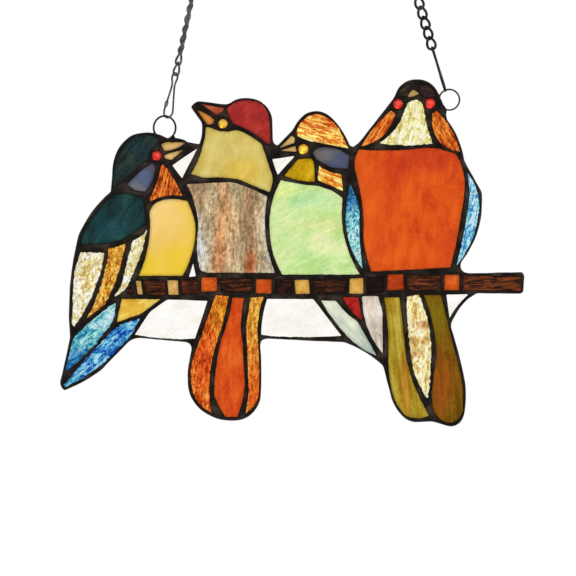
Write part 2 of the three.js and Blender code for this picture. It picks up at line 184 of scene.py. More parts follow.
def makeCamera():
    data = bpy.data.cameras.new("camera")
    data.sensor_width = cameraSet["sensor"]
    data.lens = cameraSet["sensor"] * cameraSet["distance"] / cameraSet["across"]
    data.clip_end = cameraSet["clipEnd"]
    camera = addObject("camera", data)
    camera.location = Vector(cameraSet["aim"]) - Vector((0, cameraSet["distance"], 0))
    camera.rotation_euler = (pi / 2, 0, 0)
    bpy.context.scene.camera = camera


def makeRoom():
    world = bpy.data.worlds.new("pale_room")
    world.use_nodes = True
    tree = world.node_tree
    feed(tree, tree.nodes["Background"], {"Color": (1, 1, 1, 1), "Strength": roomSet["skyStrength"]})
    bpy.context.scene.world = world
    bpy.context.scene.view_settings.view_transform = "Standard"
    low = cadBounds[0].z - roomSet["floorBelow"]
    side = roomSet["floorSide"] / 2
    mesh = bpy.data.meshes.new("floor")
    mesh.from_pydata([(x * side, y * side, low) for x, y in ((-1, -1), (1, -1), (1, 1), (-1, 1))],
                     [], [(0, 1, 2, 3)])
    paint, tree, shader = newMaterial("floor_paint")
    feed(tree, shader, {"Base Color": roomSet["floorColour"], "Roughness": roomSet["floorRoughness"]})
    mesh.materials.append(paint)
    floor = addObject("floor", mesh)
    for name, (place, size, watts) in lampSet.items():
        lamp = bpy.data.lights.new(name, "AREA")
        lamp.size = size
        lamp.energy = watts
        holder = addObject(name, lamp)
        holder.location = place
        aim = Vector(cameraSet["aim"]) - Vector(place)
        holder.rotation_euler = aim.to_track_quat("-Z", "Y").to_euler()


makeCamera()
makeRoom()
print("camera and room made")


# Outlines read from the frame

outlineSet = {
    "weld": 2e-6,
    "fit": 0.01 * mm,  # of corners to the curve they stand for
    "mostEdges": 9,  # that one curve takes up
    "bowLength": 2.3,  # how much a bow lengthens its chord
    "spacing": 0.75 * mm,  # between points along an outline
    "fineSpacing": 0.42 * mm,
    "fineRound": 80 * mm,  # the longest outline drawn finely
    "easeReach": 2.4 * mm,  # to each side of a gentle joint
    "easeWidth": 0.6,  # of one pass of easing, against its reach
    "easeFade": 1.6,
    "cornerReach": 0.85 * mm,
    "gentleTurn": radians(18),
    "sharpTurn": radians(55),
    "roundSteps": 24,  # of a round window at least
    "roundCorners": 8,
    "roundPlay": 1.03,  # between its corners' reaches
    "tightest": 0.6,  # keeps a grown corner from shooting out
    "dense": 0.2 * mm,  # between the points that distances are taken to
}
unevenSet = {
    "sway": 0.2 * mm,  # slow wander of every cut edge
    "swaySize": 9 * mm,
    "jag": 0.75 * mm,  # chipped edges of the rough glass
    "jagSize": 2.3 * mm,
    "jagged": ("teal_wing_outer", "teal_wing_middle", "teal_wing_inner", "teal_tail_upper",
               "teal_tail_lower", "orange_tail_middle", "orange_throat"),
    "slightly": 0.35,  # share of the chipping on other glass
    "seedStep": 0.013,
}


# The closed outlines of a node's front face, each as an array of x, z
def frontLoops(nodeName):
    mesh = frame["nodes"][nodeName].data
    places = np.array([v.co for v in mesh.vertices])
    keys = [tuple(k) for k in np.round(places / outlineSet["weld"]).astype(int)]
    front = places[:, 1].min() + outlineSet["weld"]
    edges = {}
    for face in mesh.polygons:
        if all(places[v][1] < front for v in face.vertices):
            corners = [keys[v] for v in face.vertices]
            edges.update(dict.fromkeys(zip(corners, corners[1:] + corners[:1])))
    border = {a: b for a, b in edges if (b, a) not in edges}
    where = dict(zip(keys, places))
    loops = []
    while border:
        start, here = border.popitem()
        loop = [start]
        while here != start:
            loop.append(here)
            here = border.pop(here)
        loops.append(np.array([where[k][[0, 2]] for k in loop]))
    return loops


# The area inside a loop, below 0 if it runs clockwise, and the area's middle
def areaAndMiddle(loop):
    ahead = np.roll(loop, -1, axis=0)
    cross = loop[:, 0] * ahead[:, 1] - ahead[:, 0] * loop[:, 1]
    return cross.sum() / 2, ((loop + ahead) * cross[:, None]).sum(axis=0) / (3 * cross.sum())


def anticlockwise(loop):
    return loop if areaAndMiddle(loop)[0] > 0 else loop[::-1]


def lengths(rows):
    return np.linalg.norm(rows, axis=1)


# The curve that starts at a corner: how many edges it takes and how far it bows
def curveFrom(corners, start):
    count = len(corners)
    fit = outlineSet["fit"]
    for edges in range(min(outlineSet["mostEdges"], count - 1), 1, -1):
        run = corners[(start + np.arange(edges + 1)) % count]
        chord = run[-1] - run[0]
        share = np.linspace(0, 1, edges + 1)[:, None]
        lift = 4 * share * (1 - share)
        away = run - run[0] - share * chord
        bow = (lift * away).sum(axis=0) / (lift ** 2).sum()
        miss = np.abs(away - lift * bow).max()
        lean = abs(bow @ chord) / np.linalg.norm(chord)
        if miss < fit and lean < fit < np.linalg.norm(bow):
            return edges, bow
    return 1, np.zeros(2)


# The curves and straight edges of an outline in order, each as start, chord and bow
def curvesOf(corners):
    count = len(corners)
    found = [(start, *curveFrom(corners, start)) for start in range(count)]
    free = [True] * count
    curves = []
    for start, edges, bow in sorted(found, key=lambda curve: -curve[1]):
        taken = [(start + k) % count for k in range(edges)]
        if edges > 1 and all(free[i] for i in taken):
            curves.append((start, edges, bow))
            for i in taken:
                free[i] = False
    curves += [(i, 1, np.zeros(2)) for i in range(count) if free[i]]
    return [(corners[start], corners[(start + edges) % count] - corners[start], bow)
            for start, edges, bow in sorted(curves, key=lambda curve: curve[0])]


def turnBetween(before, after):
    share = before @ after / (np.linalg.norm(before) * np.linalg.norm(after))
    return acos(min(1, max(-1, share)))


# Draws a faceted outline again with true curves and with its joints eased
def smoothLoop(corners):
    fine = lengths(np.roll(corners, -1, axis=0) - corners).sum() < outlineSet["fineRound"]
    spacing = outlineSet["fineSpacing" if fine else "spacing"]
    curves = curvesOf(corners)
    points = []
    joints = []
    for i, (start, chord, bow) in enumerate(curves):
        last = curves[i - 1]
        joints.append((len(points), turnBetween(last[1] - 4 * last[2], chord + 4 * bow)))
        length = hypot(np.linalg.norm(chord), outlineSet["bowLength"] * np.linalg.norm(bow))
        steps = max(2, round(length / spacing))
        points.extend(start + chord * t + 4 * t * (1 - t) * bow for t in np.arange(steps) / steps)
    points = np.array(points)
    weights = easeWeights(points, joints)[:, None]
    passes = round(2 * (outlineSet["easeWidth"] * outlineSet["easeReach"] / spacing) ** 2)
    for _ in range(passes):
        middle = (np.roll(points, 1, axis=0) + np.roll(points, -1, axis=0)) / 2
        points = points + 0.5 * weights * (middle - points)
    return points


# How much each point is eased: far round a gentle joint, little at a corner
def easeWeights(points, joints):
    along = np.cumsum(lengths(points - np.roll(points, 1, axis=0)))
    weights = np.zeros(len(points))
    gentle, sharp = outlineSet["gentleTurn"], outlineSet["sharpTurn"]
    for index, turn in joints:
        share = min(1, max(0, (turn - gentle) / (sharp - gentle)))
        reach = outlineSet["easeReach"] * (1 - share) + outlineSet["cornerReach"] * share
        away = np.abs(along - along[index])
        away = np.minimum(away, along[-1] - away)
        near = 0.5 + 0.5 * np.cos(np.pi * np.minimum(1, away / (outlineSet["easeFade"] * reach)))
        weights = np.maximum(weights, near * (reach / outlineSet["easeReach"]) ** 2)
    return weights


# Moves the points of an outline in and out a little, as hand-cut glass does
def unevenLoop(points, name=""):
    chip = unevenSet["jag"] * (1 if name in unevenSet["jagged"] else unevenSet["slightly"])
    if not name or name.startswith(("foot", "clear")) or "beak" in name:
        chip = 0
    shifts = []
    for x, z in points:
        place = Vector((x, z, unevenSet["seedStep"] * sum(name.encode())))
        shift = unevenSet["sway"] * noise.noise(place / unevenSet["swaySize"])
        shifts.append(shift + chip * noise.noise(place / unevenSet["jagSize"]))
    return points + loopNormals(points)[0] * np.array(shifts)[:, None]


def circleLoop(corners):
    centre = corners.mean(axis=0)
    radius = lengths(corners - centre).mean()
    steps = max(outlineSet["roundSteps"], round(2 * pi * radius / outlineSet["spacing"]))
    angles = np.arange(steps) * 2 * pi / steps
    return centre + radius * np.stack([np.cos(angles), np.sin(angles)], axis=1)


def isRound(corners):
    reach = lengths(corners - corners.mean(axis=0))
    even = reach.max() < outlineSet["roundPlay"] * reach.min()
    return even and len(corners) == outlineSet["roundCorners"]


# Unit normals, outwards on an anticlockwise loop, and how much each corner shrinks a distance
def loopNormals(loop):
    before = loop - np.roll(loop, 1, axis=0)
    after = np.roll(loop, -1, axis=0) - loop
    before /= lengths(before)[:, None]
    after /= lengths(after)[:, None]
    along = before + after
    along /= lengths(along)[:, None] + 1e-12
    shrink = np.maximum(outlineSet["tightest"], (along * after).sum(axis=1))
    return np.stack([along[:, 1], -along[:, 0]], axis=1), shrink


def grownLoop(loop, distance):
    normals, shrink = loopNormals(loop)
    return loop + normals * (distance / shrink)[:, None]


def treeOf(points):
    tree = kdtree.KDTree(len(points))
    for i, (x, z) in enumerate(points):
        tree.insert((x, 0, z), i)
    tree.balance()
    return tree


# A tree of points close together along the loops, to take distances to
def edgeTree(loops, spacing):
    points = []
    for loop in loops:
        for a, b in zip(loop, np.roll(loop, -1, axis=0)):
            steps = max(1, ceil(np.linalg.norm(b - a) / spacing))
            points.extend(a + (b - a) * k / steps for k in range(steps))
    return treeOf(points)


def distanceTo(tree, x, z):
    return tree.find((x, 0, z))[2]


solderLoops = sorted(frontLoops("solder"), key=lambda loop: -abs(areaAndMiddle(loop)[0]))
windowCorners = [anticlockwise(loop) for loop in solderLoops[1:]]
windowCentres = [areaAndMiddle(loop)[1] for loop in windowCorners]

metalKinds = ("solder", "ring", "hook", "chain", "end")
paneNames = sorted(n for n in frame["nodes"] if n.split("_")[0] not in metalKinds)
# The small windows, which have no pane of their own in the frame, from the left
smallNames = (
    "foot_1", "teal_eye", "teal_beak_upper", "teal_beak_lower", "foot_2", "clear_breast_gap",
    "redcap_beak_lower", "foot_3", "redcap_beak_upper", "redcap_eye", "foot_4", "green_beak_upper",
    "green_beak_lower", "foot_5", "green_eye", "foot_6", "foot_7", "orange_eye_left", "orange_beak",
    "orange_eye_right", "foot_8")


# Which window each pane fills
def nameWindows():
    free = list(range(len(windowCorners)))
    names = {}
    for pane in paneNames:
        centre = areaAndMiddle(frontLoops(pane)[0])[1]
        nearest = min(free, key=lambda i: np.linalg.norm(windowCentres[i] - centre))
        names[nearest] = pane
        free.remove(nearest)
    free.sort(key=lambda i: windowCentres[i][0])
    names.update(zip(free, smallNames))
    return names


# Millimetres off the outer and the inner side of the strand beside a clear pane,
# and how ragged its inner side is
strandSet = {
    "clear_right": (0.65, 0, 0.1),
    "clear_middle": (0.1, 0.3, 0.55),
    "clear_left": (0.15, 0.15, 0.35),
    "near": 1.9 * mm,  # a strand is no wider than this
    "fade": 1.3 * mm,
    "dense": 0.3 * mm,
    "ragSize": 1.6 * mm,
    "ragSeed": 0.1,
}


# How far each point belongs to the strand beside the other outline, 0 to 1
def strandShares(points, other):
    tree = edgeTree([other], strandSet["dense"])
    away = np.array([distanceTo(tree, x, z) for x, z in points])
    shares = np.clip((strandSet["near"] + strandSet["fade"] - away) / strandSet["fade"], 0, 1)
    return shares * shares * (3 - 2 * shares)


windowNames = nameWindows()
outerLoop = unevenLoop(smoothLoop(anticlockwise(solderLoops[0])))
windowLoops = [circleLoop(c) if isRound(c) else unevenLoop(smoothLoop(c), windowNames[i])
               for i, c in enumerate(windowCorners)]
for i, name in windowNames.items():
    if name in strandSet:
        outerShift, innerShift, rag = [s * mm for s in strandSet[name]]
        loop = windowLoops[i]
        outerShares = strandShares(outerLoop, loop) * outerShift
        ragPlaces = [Vector((x, z, strandSet["ragSeed"])) / strandSet["ragSize"] for x, z in loop]
        inner = innerShift + rag * np.array([noise.noise(place) for place in ragPlaces])
        innerShares = strandShares(loop, outerLoop) * inner
        outerLoop = outerLoop - loopNormals(outerLoop)[0] * outerShares[:, None]
        windowLoops[i] = loop + loopNormals(loop)[0] * innerShares[:, None]
print("outlines read:", len(windowLoops), "windows,", len(paneNames), "panes")


# Mesh helpers

meshSet = {
    "rowStep": 0.866,  # between a grid's rows, against its spacing
    "weld": 1e-5,  # in millimetres
    "sharp": radians(50),  # an edge that turns more is sharp
}


def makePiece(name, vertices, faces, material):
    mesh = bpy.data.meshes.new(name)
    mesh.from_pydata([tuple(v) for v in vertices], [], faces)
    mesh.validate()
    mesh.update()
    mesh.shade_smooth()
    mesh.materials.append(material)
    return addObject(name, mesh)


# A piece with sharp edges, and with values at its vertices for the material to read
def makeSheet(name, vertices, faces, material, **values):
    piece = makePiece(name, vertices, faces, material)
    piece.data.set_sharp_from_angle(angle=meshSet["sharp"])
    for label, numbers in values.items():
        attribute = piece.data.attributes.new(label, "FLOAT", "POINT")
        attribute.data.foreach_set("value", np.array(numbers, np.float32))
    return piece


def settle(piece, slot, *nodes):
    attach(piece, "root")
    if nodes:
        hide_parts(*nodes)


# Points no nearer to each other than the gap, the earlier ones first
def thinned(points, gap, taken=()):
    cells = {}
    kept = []
    for i, (x, z) in enumerate([*taken, *points]):
        column, row = floor(x / gap), floor(z / gap)
        near = [p for a in (-1, 0, 1) for b in (-1, 0, 1) for p in cells.get((column + a, row + b), ())]
        if i < len(taken) or all((px - x) ** 2 + (pz - z) ** 2 >= gap * gap for px, pz in near):
            cells.setdefault((column, row), []).append((x, z))
            kept.append((x, z))
    return kept[len(taken):]


# A grid of points on the inner side of an edge and clear of the edges in the near tree
def pointsInside(edge, normals, near, spacing, clear):
    tree = treeOf(edge)
    low, high = edge.min(axis=0), edge.max(axis=0)
    step = spacing * meshSet["rowStep"]
    points = []
    for j in range(int((high[1] - low[1]) / step) + 2):
        for i in range(int((high[0] - low[0]) / spacing) + 2):
            x, z = low[0] + (i + 0.5 * (j % 2)) * spacing, low[1] + j * step
            place, index, _ = tree.find((x, 0, z))
            away = (x - place.x) * normals[index][0] + (z - place.z) * normals[index][1]
            if away < 0 and distanceTo(near, x, z) > clear:
                points.append((x, z))
    return points


# Triangles over the inside of the first loop and outside the others, using the loose points
def triangulate(loops, loose):
    points = []
    faces = []
    for loop in loops:
        faces.append(list(range(len(points), len(points) + len(loop))))
        points.extend(loop)
    scaled = [Vector((x / mm, z / mm)) for x, z in [*points, *loose]]
    places, _, triangles, _, _, sources = delaunay_2d_cdt(scaled, [], faces, 1, meshSet["weld"], True)
    kept = [triangle for triangle, source in zip(triangles, sources) if set(source) == {0}]
    return np.array([(v.x, v.y) for v in places]) * mm, kept


# The same triangles on the front and on the back, joined along the outer edge
def bothSides(faces, count, around):
    shell = [tuple(f) for f in faces] + [tuple(v + count for v in reversed(f)) for f in faces]
    for k in range(around):
        after = (k + 1) % around
        shell.append((after, k, k + count, after + count))
    return shell


# Metals

metalSet = {
    # millimetres, detail and seed of the grain; strength and millimetres of the bump
    "black_patina_solder": {
        "colours": [(6, 4, 2), (23, 18, 14), (54, 45, 38)], "cloud": 9, "grain": (0.7, 4, 3),
        "metallic": 0.1, "specular": 0.5, "shine": (0.15, 0.13, 0.12, 1), "roughness": (0.36, 0.55),
        "bump": (0.25, 0.1), "foot": (120, 108, 100), "footShadeReach": 0.55},  # painted shade at a bead's foot, where it meets the glass
    "dark_bronze_wire": {
        "colours": [(20, 16, 15), (34, 28, 26), (60, 50, 45)], "cloud": 4, "grain": (0.4, 3, 5),
        "metallic": 0.05, "specular": 0.3, "shine": (0.2, 0.19, 0.18, 1), "roughness": (0.3, 0.48),
        "bump": (0.2, 0.08)},
}
metalSet["grey_steel_wire"] = {
    **metalSet["dark_bronze_wire"], "colours": [(46, 45, 45), (68, 67, 66), (104, 102, 100)]}


def metalMaterial(name):
    paint = metalSet[name]
    material, tree, shader = newMaterial(name)
    size, detail, seed = paint["grain"]
    strength, depth = paint["bump"]
    cloud = placedNoise(tree, paint["cloud"] * mm)
    grain = placedNoise(tree, size * mm, detail=detail, seed=seed)
    colour = rampNode(tree, cloud, paint["colours"], noiseSet["middle"])
    # Painted shade: the solder darkened towards the foot of each bead, where it meets the glass
    if "foot" in paint:
        rise = rangeNode(tree, readValue(tree, "bead"), (0, paint["footShadeReach"]), 0, 1, "SMOOTHSTEP")
        colour = overlay(tree, colour, paint["foot"], sumNode(tree, "SUBTRACT", 1.0, rise), "MULTIPLY")
    feed(tree, shader, {
        "Base Color": colour,
        "Metallic": paint["metallic"],
        "Specular IOR Level": paint["specular"],
        "Specular Tint": paint["shine"],
        "Roughness": rangeNode(tree, cloud, noiseSet["middle"], *paint["roughness"]),
        "Normal": bumpNode(tree, grain, strength, depth * mm)})
    return material


# The solder: one web of domed beads on both faces, with a groove round each pane

solderSet = {
    "glassHalf": 1.52 * mm,  # where a bead meets the glass
    "rise": 0.92 * mm,  # of a wide bead over the glass
    "reach": 1.9 * mm,  # from the glass to a bead's full height
    "rimHalf": 0.5 * mm,  # half the thickness at the very edge
    "rimReach": 2.0 * mm,
    "lip": 0.45 * mm,  # how far the glass runs in under the solder
    "rings": (0.35 * mm, 0.95 * mm),  # rows of points beside each edge
    "ringPlay": 0.93,  # how near they may lie to another edge
    "spacing": 1.0 * mm,
    "thin": 0.6,  # of the spacing, between any two points
    "clear": 0.45,  # from the rows to the other points
    "dense": 0.15 * mm,
    "lump": 0.16 * mm,  # hand-run unevenness, high and long
    "lumpSize": 7 * mm,
    "ripple": 0.05 * mm,
    "rippleSize": 2.2 * mm,
    "sideStep": 0.05,  # makes the back uneven in other places
}


def dome(share):
    rest = 1 - min(max(share, 0), 1)
    return sqrt(1 - rest * rest)


def looseSolderPoints(loops, normals):
    spacing = solderSet["spacing"]
    near = edgeTree(loops, outlineSet["dense"])
    points = []
    for reach in solderSet["rings"]:
        for i, loop in enumerate(loops):
            ring = grownLoop(loop, reach if i else -reach)
            points.extend(p for p in ring if distanceTo(near, *p) > solderSet["ringPlay"] * reach)
    points = thinned(points, solderSet["thin"] * spacing)
    clear = solderSet["rings"][-1] + solderSet["clear"] * spacing
    inner = pointsInside(np.concatenate(loops), normals, near, spacing, clear)
    return points + thinned(inner, solderSet["thin"] * spacing, points)


# Half the thickness at each point, and how far up its bead the point lies
def solderHeights(points, windowTree, rimTree, face):
    heights = []
    shares = []
    glass, low = solderSet["glassHalf"], solderSet["rimHalf"]
    top = glass + solderSet["rise"]
    for x, z in points:
        window = distanceTo(windowTree, x, z)
        rim = distanceTo(rimTree, x, z)
        overGlass = glass + solderSet["rise"] * dome(window / solderSet["reach"])
        overRim = low + (top - low) * dome(rim / solderSet["rimReach"])
        place = Vector((x, face * solderSet["sideStep"], z))
        uneven = solderSet["lump"] * noise.noise(place / solderSet["lumpSize"])
        uneven += solderSet["ripple"] * noise.noise(place / solderSet["rippleSize"])
        share = min(1, min(window, rim) / solderSet["reach"])
        heights.append(min(overGlass, overRim) + uneven * share)
        shares.append(share)
    return heights, shares


def makeSolder():
    loops = [outerLoop] + windowLoops
    normals = np.concatenate([loopNormals(loop)[0] * (-1 if i else 1) for i, loop in enumerate(loops)])
    flat, faces = triangulate(loops, looseSolderPoints(loops, normals))
    windowTree = edgeTree(windowLoops, solderSet["dense"])
    rimTree = edgeTree([outerLoop], solderSet["dense"])
    count = len(flat)
    vertices = []
    beads = []
    for face in (-1, 1):
        heights, shares = solderHeights(flat, windowTree, rimTree, face)
        beads += shares
        vertices += [(x, face * h, z) for (x, z), h in zip(flat, heights)]
    shell = bothSides(faces, count, len(outerLoop))
    starts = np.cumsum([len(loop) for loop in loops])
    for start, loop in zip(starts, windowLoops):
        addGroove(vertices, shell, loop, start, count)
    beads += [0] * (len(vertices) - len(beads))
    piece = makeSheet("solder_web", vertices, shell, solderPaint, bead=beads)
    settle(piece, "solder", "solder")
    print("solder made:", len(piece.data.polygons), "faces")


# The groove for one pane's edge, between the front window edge and the back one
def addGroove(vertices, shell, loop, start, count):
    size = len(loop)
    rows = [list(range(start, start + size))]
    for side in (-1, 1):
        rows.append(list(range(len(vertices), len(vertices) + size)))
        vertices += [(x, side * solderSet["glassHalf"], z) for x, z in grownLoop(loop, solderSet["lip"])]
    rows.append([v + count for v in rows[0]])
    for row, below in zip(rows, rows[1:]):
        for k in range(size):
            after = (k + 1) % size
            shell.append((row[k], row[after], below[after], below[k]))


solderPaint = metalMaterial("black_patina_solder")
makeSolder()


# Glass

glassColumns = ("through", "roughness", "specular", "relief", "spacing", "bump", "crisp", "swing", "fine")
glassKinds = {
    # relief: millimetres deep, millimetres across, drawn out, angle
    "clear": (1.0, 0.03, 0.2, (0.06, 9, 1.5, 90), 1.6, 0.1, 0.5, 0.03, 2.0),
    "smooth": (0.8, 0.12, 0.06, (0.05, 12, 1, 0), 1.6, 0.05, 0.5, 0.07, 1.2),
    "dark": (0.8, 0.18, 0.03, (0.07, 5, 3, 50), 1.2, 0.1, 0.55, 0.3, 1.0),
    "streaky": (0.75, 0.15, 0.06, (0.08, 4, 4, 90), 1.1, 0.1, 0.6, 0.12, 1.6),
    "ripple": (0.8, 0.12, 0.06, (0.35, 1.8, 2.5, 80), 0.75, 0.3, 0.72, 0.4, 2.4),
    "mottle": (0.75, 0.2, 0.06, (0.35, 2.2, 1.3, 60), 0.75, 0.3, 0.78, 0.36, 3.0),
}
glassKinds = {name: dict(zip(glassColumns, row)) for name, row in glassKinds.items()}
glassSet = {
    "half": 1.5 * mm,
    "clearance": 0.03 * mm,  # between the glass and its groove
    "clear": 0.5,  # of the spacing, from the edge to the other points
    "settle": 1.3 * mm,  # over which the relief fades out at the edge
    "jewelRise": 0.75 * mm,  # of a round eye over the flat glass
    "rimReach": 2.6 * mm,  # how far in from its edge the painted shade reaches
    # how the painted shade beside the solder fades, and its colour
    "rimShadeFade": 1.5,
    "rimShade": (70, 60, 58),
    "shine": (0.12, 0.12, 0.12, 1),  # how much the faces mirror the room
    "bend": 1.5,  # index of refraction
    "roughness": (0.8, 1.3),  # of the kind's, from place to place
    "bumpDepth": 0.3 * mm,
    "grain": (4, 2, 45, 0.6),  # where a look names none
    "cloud": (7, 0.5),
    "cloudStretch": 1.5,
    "fine": (1.2, 1.4),  # millimetres of the smallest marks, drawn out
    "swings": (2.2, 1.6, 1.4),  # what the grain, the cloud and the relief do to the colour
    "spotGrain": 1.8,  # of a spot's edge against the pane's grain
    "spotSwing": 2.6,
    "spotEdge": (-0.1, 0.6),
    "spotDepth": 1000,  # deep enough to go through the pane
    "spotSeed": 7,
    "fleckEdge": 0.07,
}
markNoise = {  # detail, distortion, roughness, seed
    "grain": (5, 0.5, 0.5, 0),
    "cloud": (2, 0.3, 0.5, 40),
    "fine": (3, 0.4, 0.6, 20),
    "spots": (5, 0.5, 0.7, 3),
    "crinkle": (3, 1.2, 0.6, 80),
    "flecks": (4, 0.8, 0.7, 60),
}
reliefSet = {"share": 0.62, "finer": 2.1, "seedStep": 7, "faceStep": 31}


# The kind of glass, its colours from thin to thick, and its marks:
# grain: millimetres, drawn out, angle, share. cloud: millimetres, share. fine: share of the smallest marks.
# slope: angle and share of the change of colour across the pane.
# rim: how much darker the glass is beside the solder.
# spots: a colour, and in hundredths its place in the pane, half width, half height and share.
# flecks: a colour, millimetres, drawn out, the noise above which it shows, its share.
# rim: how much painted shade darkens the glass beside the solder.
def look(kind, *colours, **marks):
    return {"kind": kind, "colours": colours, **marks}


eyeSet = {  # the painted shade at the rim, and the place, size and share of the painted highlight
    "red": (1.0, (56, 56, 26, 22, 80)),
    "yellow": (0.6, (52, 55, 50, 46, 90)),
}


# A jewel eye, with painted shade at its rim and a painted highlight as its bright spot
def eye(kind, *colours, spot):
    rim, place = eyeSet[kind]
    return look("smooth", *colours, rim=rim, spots=[(spot, *place)])


